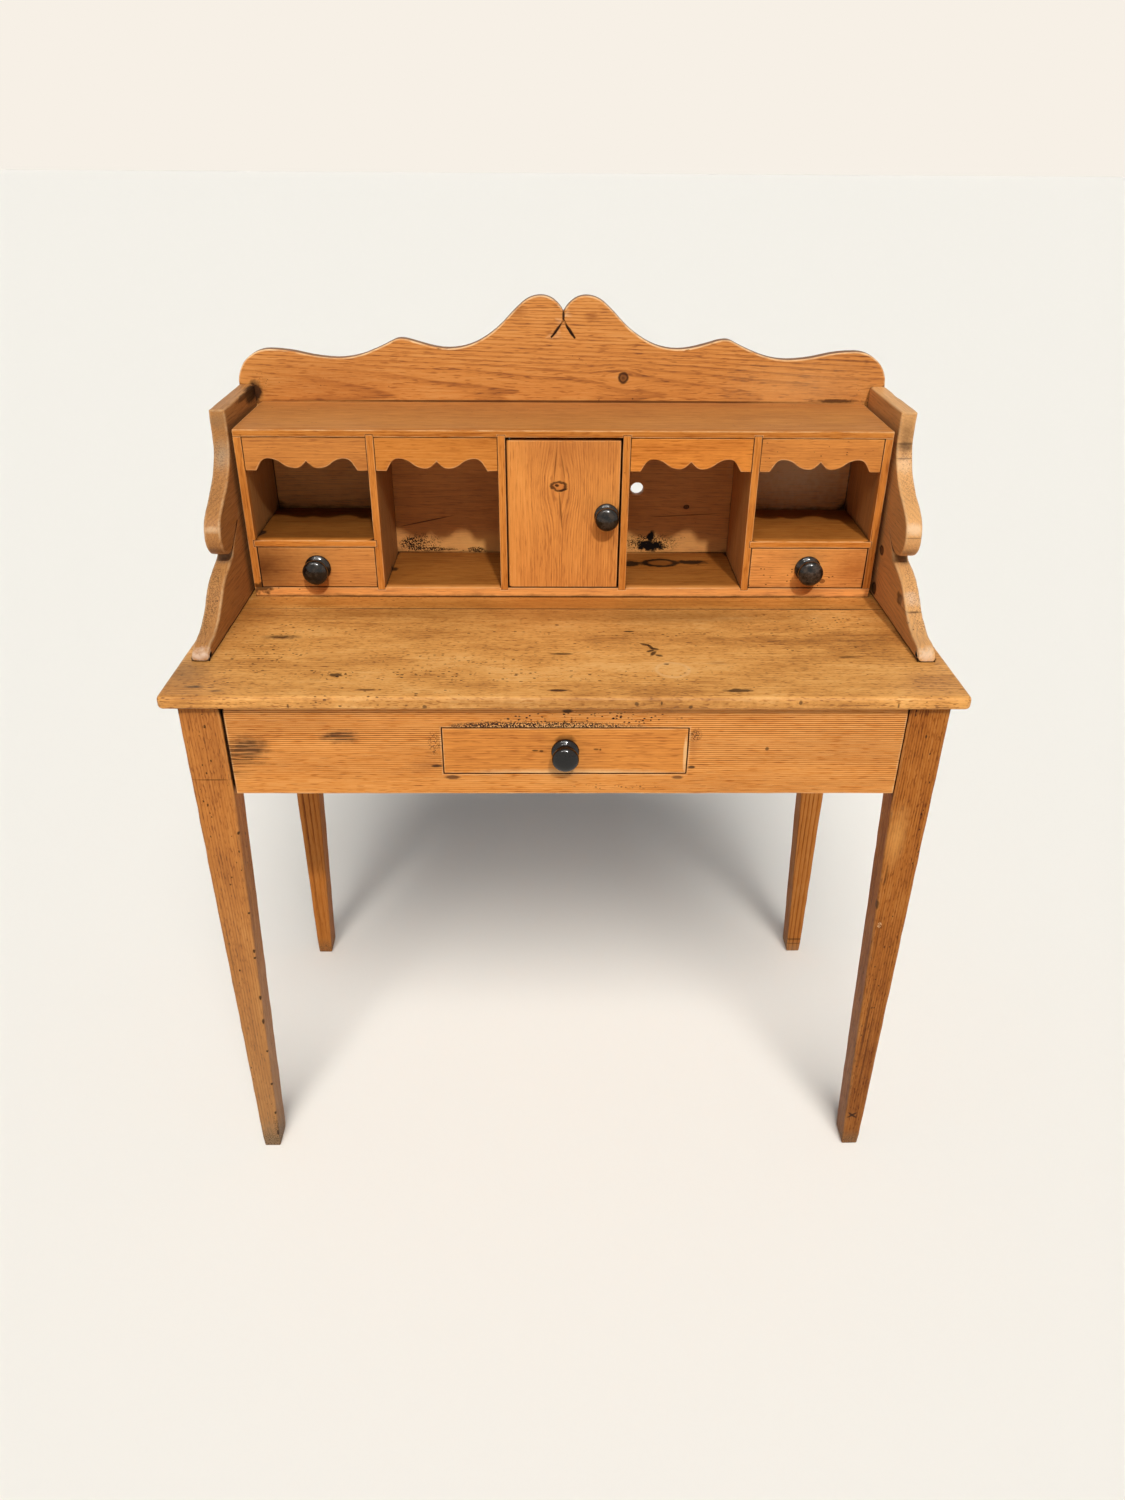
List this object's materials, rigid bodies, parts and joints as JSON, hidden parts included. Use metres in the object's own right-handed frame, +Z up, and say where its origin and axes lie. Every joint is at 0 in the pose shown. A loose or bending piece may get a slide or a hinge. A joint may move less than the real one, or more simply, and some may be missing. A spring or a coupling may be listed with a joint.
{
  "type": "writing desk",
  "caption": "Antique waxed pine writing desk with tapered legs, apron drawer and a scrolled gallery of pigeonholes, small drawers and a cupboard door.",
  "frame": {"origin": "on the floor under the middle of the desk's box", "axes": "+Z up, X across the desk, the user sits at -Y and the crest is at +Y"},
  "size_m": [0.92, 0.496, 1.118],
  "materials": {
    "waxed_pine": "waxed, semi-matte",
    "worn_pine_top": "worn wax, semi-matte",
    "bare_pine": "unfinished, matte",
    "ebonised_wood": "polished black",
    "steel_pin": "dull wire"
  },
  "bodies": {
    "desk": {"apron_back": "waxed_pine", "apron_front": "waxed_pine", "apron_left": "waxed_pine", "apron_right": "waxed_pine", "crest": "waxed_pine", "door_stop": "waxed_pine", "drawer_kicker_left": "bare_pine", "drawer_kicker_right": "bare_pine", "drawer_runner_left": "bare_pine", "drawer_runner_right": "bare_pine", "gallery_side_left": "waxed_pine", "gallery_side_right": "waxed_pine", "glue_strip_left": "bare_pine", "glue_strip_right": "bare_pine", "half_shelf_left": "waxed_pine", "half_shelf_right": "waxed_pine", "leg_back_left": "waxed_pine", "leg_back_right": "waxed_pine", "leg_front_left": "waxed_pine", "leg_front_right": "waxed_pine", "nest_back": "waxed_pine", "nest_base": "waxed_pine", "nest_end_left": "waxed_pine", "nest_end_right": "waxed_pine", "nest_shelf": "waxed_pine", "partition_inner_left": "waxed_pine", "partition_inner_right": "waxed_pine", "partition_outer_left": "waxed_pine", "partition_outer_right": "waxed_pine", "top_back_board": "worn_pine_top", "top_front_board": "worn_pine_top", "valance_inner_left": "waxed_pine", "valance_inner_right": "waxed_pine", "valance_outer_left": "waxed_pine", "valance_outer_right": "waxed_pine"},
    "main_drawer": {"main_drawer_back": "bare_pine", "main_drawer_bottom": "bare_pine", "main_drawer_front": "waxed_pine", "main_drawer_knob": "ebonised_wood", "main_drawer_side_left": "waxed_pine", "main_drawer_side_right": "waxed_pine"},
    "left_drawer": {"left_drawer_back": "bare_pine", "left_drawer_bottom": "bare_pine", "left_drawer_front": "waxed_pine", "left_drawer_knob": "ebonised_wood", "left_drawer_side_left": "waxed_pine", "left_drawer_side_right": "waxed_pine"},
    "right_drawer": {"right_drawer_back": "bare_pine", "right_drawer_bottom": "bare_pine", "right_drawer_front": "waxed_pine", "right_drawer_knob": "ebonised_wood", "right_drawer_side_left": "waxed_pine", "right_drawer_side_right": "waxed_pine"},
    "door": {"door": "waxed_pine", "door_pin_lower": "steel_pin", "door_pin_upper": "steel_pin", "door_knob": "ebonised_wood"}
  },
  "joints": [
    {"name": "main_drawer_slide", "type": "slide", "parent": "desk", "child": "main_drawer", "axis": [0, -1, 0], "range_m": [0, 0.28]},
    {"name": "left_drawer_slide", "type": "slide", "parent": "desk", "child": "left_drawer", "axis": [0, -1, 0], "range_m": [0, 0.09]},
    {"name": "right_drawer_slide", "type": "slide", "parent": "desk", "child": "right_drawer", "axis": [0, -1, 0], "range_m": [0, 0.09]},
    {"name": "door_hinge", "type": "hinge", "parent": "desk", "child": "door", "pos_m": [-0.06935, 0.0685, 0.87], "axis": [0, 0, -1], "range_deg": [0, 95]}
  ]
}
